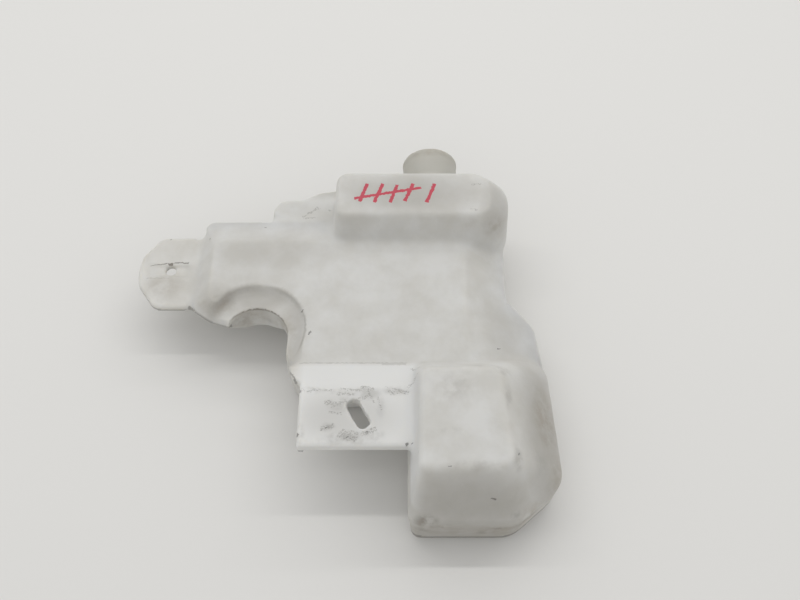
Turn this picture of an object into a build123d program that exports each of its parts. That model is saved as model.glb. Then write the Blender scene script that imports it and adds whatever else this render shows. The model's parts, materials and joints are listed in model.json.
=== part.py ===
"""Washer fluid reservoir: one blow-moulded tank with a bolt lug, a foot lug and a filler neck.

The tank lies on its back. +X points along the body from the side lug, +Y towards the filler neck and +Z away
from the back face. The origin is the centre of the side lug's bolt hole, on the lug's back face.
"""

import os
from math import radians, sin, tan

from build123d import *

# Heights of the faces over the back face of the side lug
back_z = -44
arm_back_z = -14
seam_z = -4
shoulder_z = 6
rim_z = 12
panel_z = 18
foot_z = 24
box_z = 44
sump_z = 46

# Blown wall, and how far an outline draws in from the seam to the back
wall = 2.5
back_draft = 3

# Outlines: the corners run anticlockwise from the lower left, and each list of rounds belongs to the corners
# above it
hull_seam = [(112, -107), (279, -107), (279, 77), (101, 77), (101, -88)]
hull_seam_rounds = [10, 14, 20, 30, 10]
hull_face = [(110, -96), (243, -96), (243, 17), (104, 17), (102.5, -86)]
hull_face_rounds = [8, 12, 14, 14, 8]
hull_edge = 4
hull_back_edge = 6

haunch_seam = [(202, -103), (306, -103), (299.5, -51), (279, -23), (202, -23)]
haunch_seam_rounds = [10, 14, 14, 12, 10]
haunch_face = [(207, -92), (245, -92), (243, -64), (236, -50), (207, -50)]
haunch_face_rounds = [8, 9, 9, 8, 8]
haunch_edge = 2

arm_back = [(25, -30), (44, -42), (58, -44), (162, -44), (162, 48), (27, 48)]
arm_shoulder = [(20, -39), (38, -52), (52, -56.5), (162, -90), (162, 51), (25, 50)]
arm_face = [(38, -34), (48, -46), (58, -52), (160, -52), (160, 19), (37, 21.5)]
arm_rounds = [8, 8, 8, 5, 5, 8]

ear_outline = [(80, 37), (142, 37), (142, 87), (120, 83.5), (105, 76), (87, 75), (81, 66)]
ear_rounds = [2, 2, 4, 12, 10, 5, 5]
ear_z = 5
ear_edge = 2

box_seam = [(134, 9), (282, 9), (282, 79), (134, 79)]
box_seam_rounds = [9, 30, 30, 14]
box_shoulder = [(136.5, 23), (281.5, 23), (281.5, 78), (136.5, 78)]
box_shoulder_rounds = [9, 26, 26, 11]
box_shoulder_z = 30
box_face = [(138, 29), (265, 29), (265, 73), (138, 73)]
box_face_rounds = [8, 14, 18, 9]
box_edge = 5

sump_seam = [(196, -216), (274, -216), (311, -184), (305.5, -79), (196, -79)]
sump_seam_rounds = [9, 26, 22, 20, 10]
sump_face = [(204, -193), (259, -193), (269, -186), (263, -114), (206, -114)]
sump_face_rounds = [8, 6, 8, 10, 8]
sump_edge = 7
sump_back_edge = 9

# Half-round cut-out and the lowered rim round it
cutout_x = 76.8
cutout_y = -67.5
cutout_radius = 25
cutout_foot_y = -90
rim_x = 76.5
rim_y = -63.5
rim_radius = 39.7
rim_slope = 3
rim_foot_y = -116
rim_taper = 4

# Filler neck
neck_x = 217
neck_z = 6
neck_radius = 23.4
neck_mouth_y = 113.3
neck_root_y = 67
neck_wall = 2.6
bead_length = 4
bead_height = 0.6

# Side lug with its bolt hole in a recess that deepens towards the arm
lug_outline = [(-9, -37.5), (34, -37.5), (34, 33.5), (-11, 33.5), (-25, 13), (-26.5, -1), (-25, -15)]
lug_rounds = [12, 1, 1, 12, 12, 14, 14]
lug_thickness = 6
lug_edge = 2
bolt_hole_diameter = 8.5
recess_left = -20
recess_right = 14
recess_run_out = 22
recess_top = 5.5
recess_bottom = -8.5
recess_depth = 2.5
recess_start_depth = 0.8

# Foot lug: a plate raised from the panel, with a web along its left edge and a slanted slot
foot_outline = [(104, -92), (109, -110), (115.5, -114), (115.5, -166.5), (206, -166.5), (206, -92)]
foot_outline_rounds = [1, 6, 5, 1, 5, 1]
foot_ramp_y = -96
foot_bend_y = -121.5
foot_bottom_y = -166.5
foot_thickness = 8
foot_root_z = 8
foot_bend = 14
foot_edge = 2
web_width = 5.5
web_back_z = 12
slot_x = 160
slot_y = -141
slot_width = 10
slot_length = 25
slot_lean = 118

# Room left over a face by a cutting form
clearance = 2


def rounded_outline(corners, rounds):
    """Draw a closed outline through the corners, each turned by an arc of its own radius."""
    tangents = []
    for index, corner in enumerate(corners):
        here = Vector(*corner)
        back = (Vector(*corners[index - 1]) - here).normalized()
        ahead = (Vector(*corners[(index + 1) % len(corners)]) - here).normalized()
        middle = (back + ahead).normalized()
        half_angle = radians(back.get_angle(ahead)) / 2
        reach = rounds[index] / tan(half_angle)
        nearest = rounds[index] / sin(half_angle) - rounds[index]
        tangents.append((here + back * reach, here + middle * nearest, here + ahead * reach))
    for index, (start, nearest, end) in enumerate(tangents):
        ThreePointArc(start, nearest, end)
        Line(end, tangents[(index + 1) % len(tangents)][0])


def chamber(sections, inset, front_edge=0, back_edge=0):
    """A drafted form through outlines at rising heights: its rounded outside, or the inside of its wall."""
    with BuildPart() as form:
        last = len(sections) - 1
        for index, (height, corners, rounds, draft) in enumerate(sections):
            level = height + (inset if index == 0 else 0) - (inset if index == last else 0)
            with BuildSketch(Plane.XY.offset(level)):
                with BuildLine():
                    rounded_outline(corners, rounds)
                make_face()
                if inset + draft > 0:
                    offset(amount=-(inset + draft))
        loft(ruled=True)
        if front_edge > inset:
            fillet(form.faces().sort_by(Axis.Z)[-1].edges(), radius=front_edge - inset)
        if back_edge > inset:
            fillet(form.faces().sort_by(Axis.Z)[0].edges(), radius=back_edge - inset)
    return form.part


def cutout(grow):
    """The half-round opening through the arm and down its lower side."""
    radius = cutout_radius + grow
    with BuildPart() as opening:
        with BuildSketch(Plane.XY.offset(arm_back_z - clearance)):
            with Locations((cutout_x, cutout_y)):
                Circle(radius)
            with Locations((cutout_x, (cutout_y + cutout_foot_y) / 2)):
                Rectangle(2 * radius, cutout_y - cutout_foot_y)
        extrude(amount=panel_z - arm_back_z + 2 * clearance)
    return opening.part


def rim(grow):
    """The space over the lowered rim, which widens upwards and narrows towards the foot."""
    with BuildPart() as space:
        for height, radius in ((rim_z - grow, rim_radius - rim_slope), (panel_z + clearance, rim_radius)):
            reach = radius + grow
            with BuildSketch(Plane.XY.offset(height)):
                with BuildLine():
                    ThreePointArc((rim_x + reach, rim_y), (rim_x, rim_y + reach), (rim_x - reach, rim_y))
                    Polyline(
                        (rim_x - reach, rim_y),
                        (rim_x - reach, rim_foot_y),
                        (rim_x + reach - rim_taper, rim_foot_y),
                        (rim_x + reach, rim_y),
                    )
                make_face()
        loft(ruled=True)
    return space.part


def body(inset):
    """All the blown chambers joined, less the cut-out and its rim, without the lugs and the neck."""
    hull = chamber(
        [
            (back_z, hull_seam, hull_seam_rounds, back_draft),
            (seam_z, hull_seam, hull_seam_rounds, 0),
            (panel_z, hull_face, hull_face_rounds, 0),
        ],
        inset,
        hull_edge,
        hull_back_edge,
    )
    haunch = chamber(
        [
            (back_z, haunch_seam, haunch_seam_rounds, back_draft),
            (seam_z, haunch_seam, haunch_seam_rounds, 0),
            (panel_z, haunch_face, haunch_face_rounds, 0),
        ],
        inset,
        haunch_edge,
        hull_back_edge,
    )
    arm = chamber(
        [
            (arm_back_z, arm_back, arm_rounds, 0),
            (shoulder_z, arm_shoulder, arm_rounds, 0),
            (panel_z, arm_face, arm_rounds, 0),
        ],
        inset,
    )
    ear = chamber(
        [(arm_back_z, ear_outline, ear_rounds, 0), (ear_z, ear_outline, ear_rounds, 0)],
        inset,
        ear_edge,
    )
    box = chamber(
        [
            (seam_z, box_seam, box_seam_rounds, 0),
            (box_shoulder_z, box_shoulder, box_shoulder_rounds, 0),
            (box_z, box_face, box_face_rounds, 0),
        ],
        inset,
        box_edge,
    )
    sump = chamber(
        [
            (back_z, sump_seam, sump_seam_rounds, back_draft),
            (seam_z, sump_seam, sump_seam_rounds, 0),
            (sump_z, sump_face, sump_face_rounds, 0),
        ],
        inset,
        sump_edge,
        sump_back_edge,
    )
    with BuildPart() as joined:
        add(hull)
        add(haunch)
        add(arm)
        add(rim(inset), mode=Mode.SUBTRACT)
        add(ear)
        add(box)
        add(sump)
        add(cutout(inset), mode=Mode.SUBTRACT)
    return joined.part


def side_lug():
    """The flat lug at the end of the arm, with the tapered recess and the bolt hole through its floor."""
    with BuildPart() as lug:
        with BuildSketch(Plane.XY):
            with BuildLine():
                rounded_outline(lug_outline, lug_rounds)
            make_face()
        extrude(amount=lug_thickness)
        fillet(lug.faces().sort_by(Axis.Z)[-1].edges(), radius=lug_edge)
        with BuildSketch(Plane.XZ.offset(-recess_top)):
            with BuildLine():
                Polyline(
                    (recess_left, lug_thickness + clearance),
                    (recess_left, lug_thickness - recess_start_depth),
                    (recess_right, lug_thickness - recess_depth),
                    (recess_run_out, lug_thickness),
                    (recess_run_out, lug_thickness + clearance),
                    (recess_left, lug_thickness + clearance),
                )
            make_face()
        extrude(amount=recess_top - recess_bottom, mode=Mode.SUBTRACT)
        with BuildSketch(Plane.XY):
            Circle(bolt_hole_diameter / 2)
        extrude(amount=lug_thickness, mode=Mode.SUBTRACT)
    return lug.part


def foot_lug():
    """The plate under the panel: a ramp up to a flat pad with a slanted slot, and the web along its left edge."""
    plate_back_z = foot_z - foot_thickness
    with BuildPart() as lug:
        with BuildSketch(Plane.XY):
            with BuildLine():
                rounded_outline(foot_outline, foot_outline_rounds)
            make_face()
        extrude(amount=foot_z)
        with BuildSketch(Plane.YZ):
            with BuildLine():
                Polyline(
                    (foot_ramp_y, foot_root_z),
                    (foot_ramp_y, panel_z),
                    (foot_bend_y, foot_z),
                    (foot_bottom_y, foot_z),
                    (foot_bottom_y, plate_back_z),
                    (foot_bend_y, plate_back_z),
                    (foot_ramp_y, foot_root_z),
                )
            make_face()
        extrude(amount=foot_outline[4][0], mode=Mode.INTERSECT)
        across = lug.edges().filter_by(Axis.X)
        bends = across.filter_by_position(Axis.Y, foot_bend_y - clearance, foot_bend_y + clearance)
        fillet(bends, radius=foot_bend)
        with BuildSketch(Plane.XY.offset(web_back_z)):
            with Locations((foot_outline[3][0], foot_bottom_y)):
                Rectangle(web_width, foot_bend_y - foot_bottom_y, align=(Align.MIN, Align.MIN))
        extrude(amount=foot_z - foot_thickness - web_back_z + clearance)
        lip = lug.edges().filter_by(Axis.X).group_by(Axis.Y)[0].sort_by(Axis.Z)[-1]
        fillet(lip, radius=foot_edge)
        with BuildSketch(Plane.XY.offset(web_back_z)):
            with Locations(Location((slot_x, slot_y), slot_lean)):
                SlotOverall(slot_length, slot_width)
        extrude(amount=foot_z, mode=Mode.SUBTRACT)
    return lug.part


def neck(radius, start_y, end_y):
    """A round length of the filler neck, along +Y."""
    with BuildPart() as length:
        with BuildSketch(Plane(origin=(neck_x, start_y, neck_z), x_dir=(1, 0, 0), z_dir=(0, 1, 0))):
            Circle(radius)
        extrude(amount=end_y - start_y)
    return length.part


with BuildPart() as tank:
    add(body(0))
    add(side_lug())
    add(foot_lug())
    add(neck(neck_radius, neck_root_y, neck_mouth_y))
    add(neck(neck_radius + bead_height, neck_mouth_y - bead_length, neck_mouth_y))
    add(body(wall), mode=Mode.SUBTRACT)
    add(neck(neck_radius - neck_wall, neck_root_y, neck_mouth_y), mode=Mode.SUBTRACT)

tank.part.label = "tank"
os.makedirs("parts", exist_ok=True)
export_step(tank.part, "parts/tank.step")
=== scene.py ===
import json
from math import cos, hypot, radians, sin

import bmesh
import bpy
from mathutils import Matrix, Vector

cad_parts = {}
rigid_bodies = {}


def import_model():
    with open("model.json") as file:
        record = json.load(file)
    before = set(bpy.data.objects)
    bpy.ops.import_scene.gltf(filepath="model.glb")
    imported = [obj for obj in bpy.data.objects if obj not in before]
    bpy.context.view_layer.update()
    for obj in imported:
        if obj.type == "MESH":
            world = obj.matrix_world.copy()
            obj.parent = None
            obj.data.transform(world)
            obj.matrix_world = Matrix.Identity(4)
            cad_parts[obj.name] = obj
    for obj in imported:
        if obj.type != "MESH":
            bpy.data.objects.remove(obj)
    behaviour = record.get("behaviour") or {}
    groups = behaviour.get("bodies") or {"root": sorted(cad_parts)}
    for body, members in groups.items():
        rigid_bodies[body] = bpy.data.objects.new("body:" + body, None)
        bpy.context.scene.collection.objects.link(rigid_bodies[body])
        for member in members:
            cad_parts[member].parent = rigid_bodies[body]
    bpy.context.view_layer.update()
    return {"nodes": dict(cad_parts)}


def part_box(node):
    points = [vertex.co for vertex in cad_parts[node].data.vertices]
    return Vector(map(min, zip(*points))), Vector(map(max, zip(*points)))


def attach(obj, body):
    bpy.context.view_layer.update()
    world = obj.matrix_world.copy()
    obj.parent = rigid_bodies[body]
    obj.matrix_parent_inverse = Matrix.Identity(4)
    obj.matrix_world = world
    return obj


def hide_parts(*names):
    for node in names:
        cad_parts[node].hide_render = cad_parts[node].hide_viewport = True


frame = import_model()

mm = 0.001


# Blown tank: one piece of milky high-density polyethylene. Air presses the hot parison into the mould, so
# every edge comes out soft and a broad round fills every inner corner. The CAD tank gets that softness on
# its outside, and keeps its own cavity and neck bore inside.
tank_low, tank_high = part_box("tank")
mouth_y = tank_high[1]
mouth_ring_facing = 0.9
merge_distance = 0.001 * mm
lid_height = 2 * mm
face_size = 1.6 * mm

bpy.ops.object.select_all(action="DESELECT")
skin = bpy.data.objects.new("blown_tank", frame["nodes"]["tank"].data.copy())
skin.data.materials.clear()
bpy.context.collection.objects.link(skin)
bpy.context.view_layer.objects.active = skin
skin.select_set(True)
bpy.ops.object.mode_set(mode="EDIT")
bpy.ops.mesh.select_all(action="SELECT")
bpy.ops.mesh.remove_doubles(threshold=merge_distance)
bpy.ops.mesh.customdata_custom_splitnormals_clear()

# The flat ring round the mouth comes off, which parts the skin from the cavity, the smaller of the two
bpy.ops.mesh.select_all(action="DESELECT")
form = bmesh.from_edit_mesh(skin.data)
for face in form.faces:
    at_mouth = face.calc_center_median().y > mouth_y - merge_distance
    face.select = at_mouth and face.normal.y > mouth_ring_facing
bmesh.update_edit_mesh(skin.data)
bpy.ops.mesh.delete(type="FACE")
bpy.ops.mesh.select_all(action="SELECT")
bpy.ops.mesh.separate(type="LOOSE")
bpy.ops.object.mode_set(mode="OBJECT")
halves = sorted(bpy.context.selected_objects, key=lambda half: half.dimensions.x)
cavity, skin = halves

# The cavity runs out past the mouth and is closed there, to be taken out of the skin
bpy.ops.object.select_all(action="DESELECT")
bpy.context.view_layer.objects.active = cavity
cavity.select_set(True)
bpy.ops.object.mode_set(mode="EDIT")
bpy.ops.mesh.select_all(action="DESELECT")
bpy.ops.mesh.select_mode(type="EDGE")
bpy.ops.mesh.select_non_manifold(extend=False)
bpy.ops.mesh.extrude_region_move(TRANSFORM_OT_translate={"value": (0, lid_height, 0)})
bpy.ops.mesh.edge_face_add()
bpy.ops.mesh.select_all(action="SELECT")
bpy.ops.mesh.normals_make_consistent(inside=False)
bpy.ops.object.mode_set(mode="OBJECT")

# The skin is closed at the mouth and meshed in even faces
bpy.ops.object.select_all(action="DESELECT")
bpy.context.view_layer.objects.active = skin
skin.select_set(True)
skin.name = "blown_tank"
bpy.ops.object.mode_set(mode="EDIT")
bpy.ops.mesh.select_all(action="DESELECT")
bpy.ops.mesh.select_mode(type="EDGE")
bpy.ops.mesh.select_non_manifold(extend=False)
bpy.ops.mesh.edge_face_add()
bpy.ops.object.mode_set(mode="OBJECT")
bpy.ops.object.modifier_add(type="REMESH")
remesh = skin.modifiers[-1]
remesh.mode = "VOXEL"
remesh.voxel_size = face_size
remesh.use_smooth_shade = True
bpy.ops.object.modifier_apply(modifier=remesh.name)

# Its edges are eased, less so on the deep chamber, still less on the lugs, the neck's end and the cut-out,
# and hardly at all in the side lug's recess
recess_x = (-23 * mm, 24 * mm)
recess_y = (-11 * mm, 9 * mm)
recess_floor_z = -1 * mm
side_lug_right_x = 36 * mm
side_lug_back_z = -3 * mm
foot_lug_top_y = -97 * mm
foot_lug_right_x = 207 * mm
foot_lug_back_z = 7 * mm
neck_end_y = 82 * mm
cutout_x = 76.8 * mm
cutout_y = -67.5 * mm
cutout_reach = 31 * mm
recess_softness = 0.05
crisp_softness = 0.25
deep_chamber_softness = 0.45
full_softness = 1.0
soft = skin.vertex_groups.new(name="soft")
for vertex in skin.data.vertices:
    x, y, z = vertex.co
    in_recess = recess_x[0] < x < recess_x[1] and recess_y[0] < y < recess_y[1] and z > recess_floor_z
    on_side_lug = x < side_lug_right_x and z > side_lug_back_z
    on_foot_lug = y < foot_lug_top_y and x < foot_lug_right_x and z > foot_lug_back_z
    on_neck_end = y > neck_end_y
    at_cutout = hypot(x - cutout_x, y - cutout_y) < cutout_reach
    on_deep_chamber = y < foot_lug_top_y and x > foot_lug_right_x
    if in_recess:
        softness = recess_softness
    elif on_side_lug or on_foot_lug or on_neck_end or at_cutout:
        softness = crisp_softness
    elif on_deep_chamber:
        softness = deep_chamber_softness
    else:
        softness = full_softness
    soft.add([vertex.index], softness, "REPLACE")
smooth_factor = 0.5
ease_passes = 11
bpy.ops.object.modifier_add(type="SMOOTH")
ease = skin.modifiers[-1]
ease.factor = smooth_factor
ease.iterations = ease_passes
ease.vertex_group = soft.name
bpy.ops.object.modifier_apply(modifier=ease.name)

# The parison bridges the inner corners, so each of them fills out to a broad round, except on the lugs and
# the neck's end
inner_corner_rise = 0.028 * mm
inner_corner_rings = 3
inner_corner_passes = 28
side_lug_flat_x = 20 * mm
foot_lug_flat_x = 200 * mm
foot_lug_flat_y = -110 * mm
bpy.ops.object.mode_set(mode="EDIT")
bpy.ops.mesh.select_all(action="DESELECT")
bpy.ops.mesh.select_mode(type="VERT")
form = bmesh.from_edit_mesh(skin.data)
for vertex in form.verts:
    x, y, z = vertex.co
    on_side_lug = x < side_lug_flat_x
    on_foot_lug = y < foot_lug_flat_y and x < foot_lug_flat_x and z > foot_lug_back_z
    on_neck_end = y >= neck_end_y
    around = [edge.other_vert(vertex).co for edge in vertex.link_edges]
    rise = (sum(around, Vector()) / len(around) - vertex.co).dot(vertex.normal)
    vertex.select = rise > inner_corner_rise and not (on_side_lug or on_foot_lug or on_neck_end)
form.select_flush_mode()
bmesh.update_edit_mesh(skin.data)
for ring in range(inner_corner_rings):
    bpy.ops.mesh.select_more()
bpy.ops.mesh.vertices_smooth(factor=smooth_factor, repeat=inner_corner_passes)
bpy.ops.object.mode_set(mode="OBJECT")

# The cavity and the neck's bore are taken out
crisp_edge_angle = 50
bpy.ops.object.modifier_add(type="BOOLEAN")
hollow = skin.modifiers[-1]
hollow.operation = "DIFFERENCE"
hollow.solver = "EXACT"
hollow.object = cavity
bpy.ops.object.modifier_apply(modifier=hollow.name)
bpy.data.objects.remove(cavity)
bpy.ops.object.shade_smooth_by_angle(angle=radians(crisp_edge_angle))


def linear(colour):
    """Turn an sRGB hex colour to linear values."""
    parts = [int(colour[place : place + 2], 16) / 255 for place in (1, 3, 5)]
    return [part / 12.92 if part <= 0.04045 else ((part + 0.055) / 1.055) ** 2.4 for part in parts] + [1]


def node(tree, kind, links=(), **settings):
    """Add a node to a material with its settings, and link or set its inputs."""
    new = tree.nodes.new(kind)
    for name, value in settings.items():
        setattr(new, name, value)
    for socket, value in dict(links).items():
        if isinstance(value, bpy.types.NodeSocket):
            tree.links.new(value, new.inputs[socket])
        else:
            new.inputs[socket].default_value = value
    return new


# Milky high-density polyethylene, blow moulded: a waxy, half-gloss skin with a faint orange peel. It is
# clouded where the wall is thinner and whiter where two walls are pinched to a solid lug. Light soaks into
# it, so its shadows and edges are soft. Its neck is painted greyer, as shade of the dark inside seen through
# it.
# The neck grey is painted shade. The film, dust, deep dirt and soot colours serve for both dirt and painted
# shade.
milky = "#cccbc7"
milky_cloud = "#c1bfb9"
pinched = "#d6d6d4"
neck_shade_grey = "#a9a79f"
road_film_and_shade = "#908c84"
road_dust_and_shade = "#8b7f6e"
scuff_grey = "#7f7c76"
deep_dirt_and_shade = "#5c554b"
soot_and_shade = "#3a3631"
felt_pen = "#b81a3c"

# Sizes of its patterns in millimetres, matched. Real orange peel is taken as about 1.5 mm across and
# a real scratch as about 0.3 mm wide, and both are drawn coarser, so that they show. The places and sizes of
# its marks are in millimetres too.
cloud_size = 30
smear_size = 9
peel_size = 3.2
peel_depth = 0.25
scratch_size = 1.1
waver_size = 2.4
waver_reach = 2.2

polythene = bpy.data.materials.new("blown milky polyethylene")
polythene.use_nodes = True
tree = polythene.node_tree
shader = tree.nodes["Principled BSDF"]
coordinates = node(tree, "ShaderNodeTexCoord")
in_mm = {0: coordinates.outputs["Object"], "Scale": 1 / mm}
point = node(tree, "ShaderNodeVectorMath", in_mm, operation="SCALE").outputs[0]
axes = node(tree, "ShaderNodeSeparateXYZ", {0: point})
facing = node(tree, "ShaderNodeSeparateXYZ", {0: coordinates.outputs["Normal"]})
facing_front = {"Value": facing.outputs["Z"], "From Min": 0.1, "From Max": 0.4}
front = node(tree, "ShaderNodeMapRange", facing_front).outputs[0]

# Marks are drawn with a slightly unsteady edge
waver = node(tree, "ShaderNodeTexNoise", {"Vector": point, "Scale": 1 / waver_size, "Detail": 2.0})
minus_half = {0: waver.outputs["Color"], 1: (0.5, 0.5, 0.5)}
centred = node(tree, "ShaderNodeVectorMath", minus_half, operation="SUBTRACT")
shift = node(tree, "ShaderNodeVectorMath", {0: centred.outputs[0], "Scale": waver_reach}, operation="SCALE")
unsteady = node(tree, "ShaderNodeVectorMath", {0: point, 1: shift.outputs[0]}, operation="ADD").outputs[0]
flat = node(tree, "ShaderNodeVectorMath", {0: unsteady, 1: (1, 1, 0)}, operation="MULTIPLY").outputs[0]


def line_mark(tree, start, end, width):
    """How strongly a line, seen from the front, covers each point: 1 in the line, 0 beside it."""
    run = Vector((end[0] - start[0], end[1] - start[1], 0))
    middle = (Vector((*start, 0)) + Vector((*end, 0))) / 2
    ahead = run.normalized()
    sideways = Vector((-ahead.y, ahead.x, 0))
    along = node(tree, "ShaderNodeVectorMath", {0: flat, 1: ahead}, operation="DOT_PRODUCT")
    across = node(tree, "ShaderNodeVectorMath", {0: flat, 1: sideways}, operation="DOT_PRODUCT")
    in_length = {0: along.outputs["Value"], 1: middle.dot(ahead), 2: (run.length + width) / 2}
    in_width = {0: across.outputs["Value"], 1: middle.dot(sideways), 2: width / 2}
    on_length = node(tree, "ShaderNodeMath", in_length, operation="COMPARE")
    on_width = node(tree, "ShaderNodeMath", in_width, operation="COMPARE")
    both = {0: on_length.outputs[0], 1: on_width.outputs[0]}
    return node(tree, "ShaderNodeMath", both, operation="MULTIPLY").outputs[0]


def arc_mark(tree, centre, radius, width):
    """How strongly a soft-edged ring, seen from the front, covers each point."""
    away = node(tree, "ShaderNodeVectorMath", {0: flat, 1: centre}, operation="DISTANCE")
    past = node(tree, "ShaderNodeMath", {0: away.outputs["Value"], 1: radius}, operation="SUBTRACT")
    off = node(tree, "ShaderNodeMath", {0: past.outputs[0]}, operation="ABSOLUTE")
    edge = {"From Min": width * 0.1, "From Max": width * 0.7, "To Min": 1, "To Max": 0}
    return node(tree, "ShaderNodeMapRange", {"Value": off.outputs[0], **edge}).outputs[0]


def patch(tree, middle, reach, share):
    """How strongly a soft-edged patch covers each point: its share at the middle, 0 past its reach."""
    off = node(tree, "ShaderNodeVectorMath", {0: unsteady, 1: middle}, operation="SUBTRACT")
    scaled = node(tree, "ShaderNodeVectorMath", {0: off.outputs[0], 1: reach}, operation="DIVIDE")
    away = node(tree, "ShaderNodeVectorMath", {0: scaled.outputs[0]}, operation="LENGTH")
    edge = {"From Min": 0.2, "From Max": 1, "To Min": share, "To Max": 0}
    fade = {"Value": away.outputs["Value"], **edge}
    return node(tree, "ShaderNodeMapRange", fade, interpolation_type="SMOOTHSTEP").outputs[0]


def strongest(tree, covers):
    """Join marks of one kind, each as soon as it is made, which keeps the shader's memory small."""
    joined = 0
    for cover in covers:
        joined = node(tree, "ShaderNodeMath", {0: joined, 1: cover}, operation="MAXIMUM").outputs[0]
    return joined


def kept_where(tree, cover, *places):
    """Keep marks only where each of the places is also covered."""
    for place in places:
        cover = node(tree, "ShaderNodeMath", {0: cover, 1: place}, operation="MULTIPLY").outputs[0]
    return cover


# Places of the colour sockets on a Mix node
MIX_BELOW = 6
MIX_ABOVE = 7
MIX_RESULT = 2


def laid_over(tree, below, cover, colour, strength):
    """Lay a colour over another where its cover says."""
    share = node(tree, "ShaderNodeMath", {0: cover, 1: strength}, operation="MULTIPLY")
    colours = {MIX_BELOW: below, MIX_ABOVE: linear(colour)}
    layer = node(tree, "ShaderNodeMix", {0: share.outputs[0], **colours}, data_type="RGBA")
    return layer.outputs[MIX_RESULT]


# The milky ground, clouded as the wall's thickness varies
cloud_grain = {"Vector": point, "Scale": 1 / cloud_size, "Detail": 5.0, "Roughness": 0.6}
cloud = node(tree, "ShaderNodeTexNoise", cloud_grain)
cloud_edges = {"Value": cloud.outputs["Fac"], "From Min": 0.36, "From Max": 0.64}
clouded = node(tree, "ShaderNodeMapRange", cloud_edges)
ground = {0: clouded.outputs[0], MIX_BELOW: linear(milky), MIX_ABOVE: linear(milky_cloud)}
colour = node(tree, "ShaderNodeMix", ground, data_type="RGBA").outputs[MIX_RESULT]

# The foot lug is whiter. Each of its sides has an axis, where the white starts and where it is full.
foot_lug_sides = (("Y", -95, -99), ("X", 209, 200), ("X", 110, 118), ("Z", 7, 11))
whitened = 1
for axis, start, full in foot_lug_sides:
    side = {"Value": axes.outputs[axis], "From Min": start, "From Max": full}
    within = node(tree, "ShaderNodeMapRange", side)
    whitened = kept_where(tree, within.outputs[0], whitened)
colour = laid_over(tree, colour, whitened, pinched, strength=0.9)

# Painted shade of the dark inside seen through the neck: the neck is greyer, which fades in over its foot
up_neck = node(tree, "ShaderNodeMapRange", {"Value": axes.outputs["Y"], "From Min": 74, "From Max": 88})
colour = laid_over(tree, colour, up_neck.outputs[0], neck_shade_grey, strength=0.9)

# A thin grey film of road dirt, even on the broad faces. The thicker grey on the undersides of the fitted
# tank, on the right sides of the box and the deep chamber and on the body's right shoulder is painted shade.
# Each patch has its middle, its reach along X, Y and Z, and its share.
film_and_shade_patches = [
    ((200, 50, 44), (82, 30, 12), 0.46),
    ((268, 42, 34), (20, 34, 28), 0.42),
    ((150, -143, 24), (52, 30, 10), 0.3),
    ((60, -20, 8), (42, 40, 14), 0.3),
    ((82, 10, 18), (74, 26, 12), 0.24),
    ((47, -35, 10), (26, 22, 16), 0.5),
    ((78, -34, 12), (44, 16, 12), 0.42),
    ((104, -66, 12), (24, 46, 14), 0.34),
    ((0, -12, 4), (34, 30, 8), 0.1),
    ((297, -150, 8), (36, 92, 56), 0.62),
    ((246, -208, 22), (100, 26, 62), 0.48),
    ((244, -216, -22), (130, 18, 48), 0.62),
    ((272, -60, 6), (24, 44, 30), 0.26),
]
film_and_shade = strongest(tree, (patch(tree, *film_and_shade_patch) for film_and_shade_patch in film_and_shade_patches))
colour = laid_over(tree, colour, film_and_shade, road_film_and_shade, strength=1)

# Road dust in smears, thickest low on the deep chamber, under the box and round the cut-out. On those
# undersides and in the foot lug's slot its brown is partly painted shade.
smear_grain = {"Vector": point, "Scale": 1 / smear_size, "Detail": 5.0, "Roughness": 0.6}
smear = node(tree, "ShaderNodeTexNoise", smear_grain)
smear_edges = {"Value": smear.outputs["Fac"], "From Min": 0.38, "From Max": 0.6}
broken = node(tree, "ShaderNodeMapRange", smear_edges).outputs[0]
dust_and_shade_patches = [
    ((210, -214, -2), (11, 9, 12), 1.0),
    ((216, -215, -8), (18, 8, 8), 0.7),
    ((284, -206, -12), (24, 16, 22), 1.0),
    ((262, -214, -16), (34, 8, 16), 0.8),
    ((224, -216, -18), (60, 8, 16), 0.5),
    ((268, 28, 30), (14, 12, 14), 0.6),
    ((249, 27, 34), (8, 6, 8), 0.4),
    ((44, -36, 8), (22, 16, 14), 0.9),
    ((64, -44, 0), (30, 14, 18), 0.8),
    ((97, -52, -2), (14, 20, 14), 0.7),
    ((104, -66, 6), (14, 34, 16), 0.6),
    ((297, -140, 4), (18, 40, 26), 0.9),
    ((302, -176, -6), (16, 30, 22), 0.8),
    ((-4, -16, 6), (24, 18, 8), 0.5),
    ((222, -135, 46), (16, 16, 6), 0.3),
    ((217, 110, 26), (26, 8, 10), 0.8),
    ((162, -129, 16), (9, 7, 8), 1.0),
]
dust_and_shade = strongest(tree, (patch(tree, *dust_and_shade_patch) for dust_and_shade_patch in dust_and_shade_patches))
colour = laid_over(tree, colour, kept_where(tree, dust_and_shade, broken), road_dust_and_shade, strength=0.45)

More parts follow.
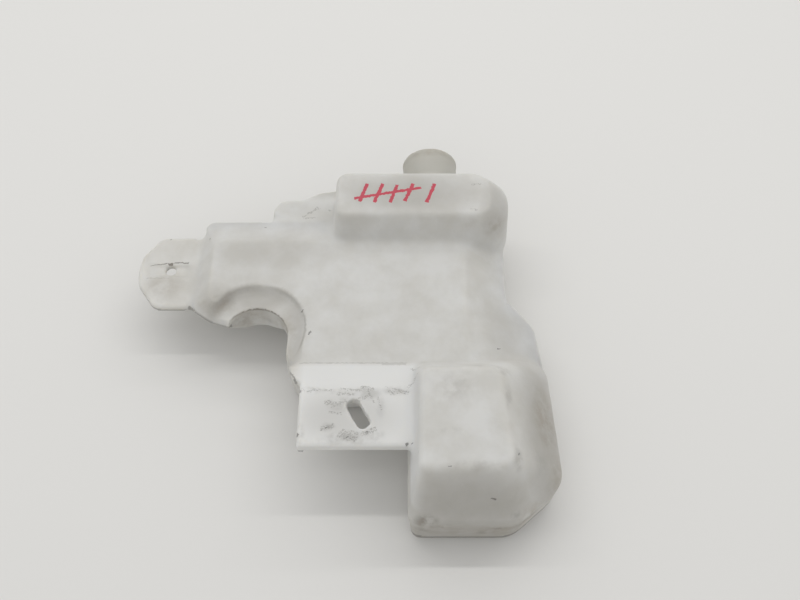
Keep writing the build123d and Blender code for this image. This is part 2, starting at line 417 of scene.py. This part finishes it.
# Soft grey smudges round the slot and along the edges of the deep chamber
smudge_patches = [
    ((146, -133, 24), (13, 9, 8), 0.7),
    ((151, -160, 24), (18, 7, 8), 1.0),
    ((171, -158, 24), (11, 7, 8), 0.9),
    ((138, -152, 24), (8, 5, 8), 0.7),
    ((167, -124, 24), (14, 8, 8), 0.8),
    ((188, -122, 24), (16, 5.5, 8), 0.8),
    ((124, -122, 24), (16, 4.5, 8), 0.7),
    ((176, -136, 24), (6, 12, 8), 0.5),
    ((150, -123, 24), (16, 5, 8), 0.8),
    ((118, -158, 22), (5, 12, 10), 0.8),
    ((150, -163, 24), (40, 4, 6), 0.6),
    ((227, -165, 46), (14, 4, 6), 0.5),
    ((267, -114, 40), (12, 8, 12), 0.8),
    ((252, -108, 43), (26, 5, 10), 0.5),
    ((269, -136, 42), (5, 16, 10), 0.7),
    ((273, -184, 40), (7, 14, 12), 0.8),
    ((233, -129, 46), (18, 16, 6), 0.5),
    ((244, -191, 45), (30, 5, 8), 0.6),
    ((290, -178, 16), (10, 14, 14), 0.6),
]
smudges = strongest(tree, (patch(tree, *smudge) for smudge in smudge_patches))
colour = laid_over(tree, colour, kept_where(tree, smudges, broken), scuff_grey, strength=0.42)

# Grime that has dried in the low corners of the deep chamber and at the arm's tip
grime_patches = [
    ((209, -214, 0), (13, 9, 10), 0.75),
    ((206, -214, -14), (8, 8, 14), 0.5),
    ((220, -215.5, -6), (14, 6, 5), 0.8),
    ((260, -215, -10), (12, 6, 5), 0.6),
    ((281, -206, -12), (16, 12, 8), 0.7),
    ((272, -209, 3), (6, 5, 6), 0.6),
    ((252, -214, -22), (10, 6, 6), 0.5),
    ((52, -53, 5), (8, 5, 7), 0.6),
    ((84, -44, -4), (7, 5, 5), 0.4),
]
grime = strongest(tree, (patch(tree, *grime_patch) for grime_patch in grime_patches))
colour = laid_over(tree, colour, kept_where(tree, grime, broken), deep_dirt_and_shade, strength=0.5)

# Painted shade, with some caught dirt, in the crease at the foot of the main panel and in the side lug's
# recess. Each line has its start, its end, its width and its share.
crease_shade_and_dirt_lines = [
    ((114, -95.6), (196, -95.6), 0.8, 0.28),
    ((178, -96.4), (194, -96.4), 2.4, 0.22),
    ((-17, 4.2), (-4, 6.0), 0.7, 0.8),
    ((-12, 4.9), (-2, 6.2), 0.8, 0.7),
    ((-1.6, 5.3), (0.8, 5.6), 1.5, 0.9),
    ((3, 6.7), (14, 6.7), 1.1, 0.8),
    ((-18, -8.6), (0, -8.4), 0.6, 0.4),
]
crease_shade_and_dirt = strongest(tree, (kept_where(tree, line_mark(tree, *line), share) for *line, share in crease_shade_and_dirt_lines))
colour = laid_over(tree, colour, kept_where(tree, crease_shade_and_dirt, front), deep_dirt_and_shade, strength=0.85)

# Painted shade, with some dirt, in the step round the rim and along the cut-out's edge. Each arc has its
# centre, radius and width, and the patch it shows in.
rim_centre = (76.5, -63.5, 0)
cutout_centre = (cutout_x / mm, cutout_y / mm, 0)
rim_shade_and_dirt_arcs = [
    (rim_centre, 39.6, 6.0, (58, -30, 12), (34, 28, 16), 0.42),
    (rim_centre, 38.2, 11.0, (46, -38, 10), (22, 20, 16), 0.4),
    (rim_centre, 39.8, 4.0, (100, -38, 12), (34, 34, 16), 0.42),
    (rim_centre, 40.0, 2.0, (115, -62, 12), (14, 34, 16), 0.5),
    (cutout_centre, 25.0, 1.6, (80, -50, 12), (40, 40, 9), 1.0),
]


def rim_mark(tree, centre, radius, width, *shown_in):
    """How strongly an arc that shows only in a patch covers each point."""
    arc = arc_mark(tree, centre, radius, width)
    return kept_where(tree, arc, patch(tree, *shown_in))


rim_shade_and_dirt = strongest(tree, (rim_mark(tree, *rim_shade_and_dirt_arc) for rim_shade_and_dirt_arc in rim_shade_and_dirt_arcs))
colour = laid_over(tree, colour, kept_where(tree, rim_shade_and_dirt, front), deep_dirt_and_shade, strength=0.8)

# Painted shade, with some dirt, in a line along the edges on which the sides end. Each has its start,
# its end, its width and the height below which it fades in.
edge_dirt_and_shade_lines = [
    ((-23, 14), (-26.4, 4), 2.2, 3.6),
    ((-26.4, 5), (-26.4, -7), 2.2, 3.8),
    ((-26.4, -7), (-21, -21), 2.6, 4.4),
    ((-21, -21), (-12.6, -32.6), 2.6, 4.4),
    ((-12.6, -32.6), (-5, -37.4), 2.6, 4.2),
    ((-5, -37.5), (20, -37.5), 2.0, 3.4),
    ((20, -38), (39, -51.8), 3.6, 8),
    ((39, -51.8), (57, -55.6), 3.6, 7.6),
    ((117, -166.6), (142, -166.6), 2.0, 16.5),
    ((199.5, -210), (205, -213.8), 2.6, -29),
    ((205, -213.8), (270, -213.8), 2.2, -32),
    ((270, -213.8), (303, -189), 3.4, -30),
    ((104.5, -99), (111, -110), 1.0, 40),
    ((111, -110), (116.5, -123), 1.4, 40),
]
edge_fade = 1.6


def edge_mark(tree, start, end, width, top):
    """How strongly a line that fades in below its top covers each point."""
    line = line_mark(tree, start, end, width)
    fade = {"Value": axes.outputs["Z"], "From Min": top, "From Max": top - edge_fade}
    below = node(tree, "ShaderNodeMapRange", fade)
    return kept_where(tree, line, below.outputs[0])


edge_dirt_and_shade = strongest(tree, (edge_mark(tree, *edge_dirt_and_shade_line) for edge_dirt_and_shade_line in edge_dirt_and_shade_lines))
colour = laid_over(tree, colour, edge_dirt_and_shade, soot_and_shade, strength=0.5)

# Grey scuffs where the foot lug and the box have rubbed, each broken up into short scratches. From here on,
# each line has its start, its end and its width.
scratch = node(tree, "ShaderNodeTexNoise", {"Vector": point, "Scale": 1 / scratch_size, "Detail": 2.0})
scratch_edges = {"Value": scratch.outputs["Fac"], "From Min": 0.45, "From Max": 0.62}
rubbed = node(tree, "ShaderNodeMapRange", scratch_edges).outputs[0]
scuff_lines = [
    ((118, -121.5), (124, -123), 2.4),
    ((126, -121), (139, -122), 1.9),
    ((147, -120.5), (161, -122), 1.8),
    ((145, -125), (156, -125), 2.4),
    ((181, -121), (186, -125), 1.6),
    ((186, -122), (196, -124), 3.4),
    ((137, -132), (144, -133), 3.8),
    ((141, -135), (150, -131), 2.4),
    ((139, -140), (147, -141), 2.0),
    ((158, -131), (166, -127), 2.8),
    ((163, -119), (170, -121), 3.4),
    ((167, -123), (171, -131), 1.8),
    ((174, -128), (177, -138), 1.4),
    ((180, -118), (184, -126), 1.0),
    ((134, -153), (141, -151), 3.2),
    ((148, -158), (157, -161), 5.0),
    ((150, -155), (160, -157), 2.8),
    ((164, -157), (172, -154), 3.6),
    ((107, 56), (113, 61), 1.9),
    ((113, 60), (119, 66), 1.6),
    ((108, 54), (117, 55), 1.6),
    ((118, 66.5), (121, 65), 2.0),
    ((129, 63), (131, 62), 2.0),
    ((249, 34), (253, 33), 1.6),
    ((251, 60), (257, 60), 2.0),
    ((199, -102), (205, -106), 1.5),
    ((197, -119), (203, -113), 1.9),
]
scuffs = strongest(tree, (line_mark(tree, *line) for line in scuff_lines))
colour = laid_over(tree, colour, kept_where(tree, scuffs, front, rubbed), scuff_grey, strength=0.58)

# Small dark specks of tar
speck_strokes = [
    ((30.6, 26.4), (31.2, 27), 1.0),
    ((75.4, 40.2), (77, 40.4), 0.8),
    ((-3.9, 31), (-3.2, 31.2), 0.7),
    ((112.8, -48.2), (113.8, -47), 1.0),
    ((119.4, -69.6), (121, -67.6), 1.4),
    ((136, -152.7), (138.2, -152.1), 0.6),
    ((151.8, -160), (153.4, -159.4), 0.7),
    ((165.4, -156), (167.2, -155.4), 0.7),
    ((116, -158.6), (116.6, -157.2), 1.5),
    ((195.4, -165.2), (196, -165), 1.3),
    ((199, -165.2), (199.6, -165), 1.0),
    ((267, -78), (269, -77.6), 0.9),
    ((224, -191.3), (225.6, -191.1), 0.7),
    ((254.4, -205), (258, -205), 0.6),
    ((203, -178.6), (203.4, -178.2), 0.7),
    ((273, -180.6), (273.6, -179.4), 0.7),
]
specks = strongest(tree, (line_mark(tree, *stroke) for stroke in speck_strokes))
colour = laid_over(tree, colour, kept_where(tree, specks, front), soot_and_shade, strength=0.62)

# A tally in red felt pen on the front of the box
tally_lines = [
    ((158, 43), (163, 59), 2.9),
    ((170, 42), (176, 59), 3.0),
    ((183, 42), (188, 58), 2.9),
    ((195, 43), (201, 59), 3.0),
    ((154, 45), (207, 56), 2.7),
    ((213, 42), (219, 59), 3.0),
]
tally = strongest(tree, (line_mark(tree, *line) for line in tally_lines))
colour = laid_over(tree, colour, kept_where(tree, tally, front), felt_pen, strength=0.92)
tree.links.new(colour, shader.inputs["Base Color"])

# Half gloss, duller where dirt is smeared over it. Light soaks in, its red part deepest.
worn = node(tree, "ShaderNodeMapRange", {"Value": smear.outputs["Fac"], "To Min": 0.42, "To Max": 0.6})
tree.links.new(worn.outputs[0], shader.inputs["Roughness"])
shader.inputs["IOR"].default_value = 1.53
shader.inputs["Subsurface Weight"].default_value = 0.6
shader.inputs["Subsurface Radius"].default_value = (8 * mm, 7.5 * mm, 6.5 * mm)
shader.inputs["Subsurface Scale"].default_value = 1

peel = node(tree, "ShaderNodeTexNoise", {"Vector": point, "Scale": 1 / peel_size, "Detail": 3.0})
peeled = {"Strength": 0.25, "Distance": peel_depth * mm, "Height": peel.outputs["Fac"]}
bump = node(tree, "ShaderNodeBump", peeled)
tree.links.new(bump.outputs["Normal"], shader.inputs["Normal"])
skin.data.materials.append(polythene)
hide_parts("tank")
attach(skin, "root")


# Table: the plain pale top that the tank lies on for its picture. It is taken to be matt laminate, and is so
# large that none of its edges comes into the camera's view.
laminate = "#dad9d6"
table_size = 6
table_z = tank_low[2]
middle_x = 0.15
bpy.ops.mesh.primitive_plane_add(size=table_size, location=(middle_x, 0, table_z))
table = bpy.context.active_object
table.name = "table"
table_top = bpy.data.materials.new("pale laminate")
table_top.use_nodes = True
tree = table_top.node_tree
shader = tree.nodes["Principled BSDF"]
shader.inputs["Base Color"].default_value = linear(laminate)
shader.inputs["Roughness"].default_value = 0.8
shader.inputs["Specular IOR Level"].default_value = 0.2
table.data.materials.append(table_top)


# Light: soft white light from the whole room, and two long tube lamps that hang behind the tank and run
# along it. Each hangs at its own angle from straight overhead, so the tank throws two shadows towards the
# camera.
room_strength = 0.77
world = bpy.data.worlds.new("room light")
bpy.context.scene.world = world
world.use_nodes = True
world.node_tree.nodes["Background"].inputs["Color"].default_value = linear("#ffffff")
world.node_tree.nodes["Background"].inputs["Strength"].default_value = room_strength

tube_length = 2.6
tube_width = 0.08
lamp_away = 1.6
aim_y = -0.06
for name, lean, power in (("near_tube", 18, 7.0), ("far_tube", 42, 2.8)):
    lamp_y = aim_y + lamp_away * sin(radians(lean))
    lamp_z = table_z + lamp_away * cos(radians(lean))
    lamp_place = (middle_x, lamp_y, lamp_z)
    bpy.ops.object.light_add(type="AREA", location=lamp_place, rotation=(radians(-lean), 0, 0))
    tube = bpy.context.active_object
    tube.name = name
    tube.data.shape = "RECTANGLE"
    tube.data.size = tube_length
    tube.data.size_y = tube_width
    tube.data.energy = power


# Camera: held above the table in front of the tank and looking down at it, 33 degrees off straight down
camera_place = (0.1906, -0.4434, 0.6422)
camera_tilt = 33
bpy.ops.object.camera_add(location=camera_place, rotation=(radians(camera_tilt), 0, 0))
camera = bpy.context.active_object
camera.data.lens = 42
camera.data.sensor_width = 36
bpy.context.scene.camera = camera
bpy.context.scene.view_settings.view_transform = "Standard"
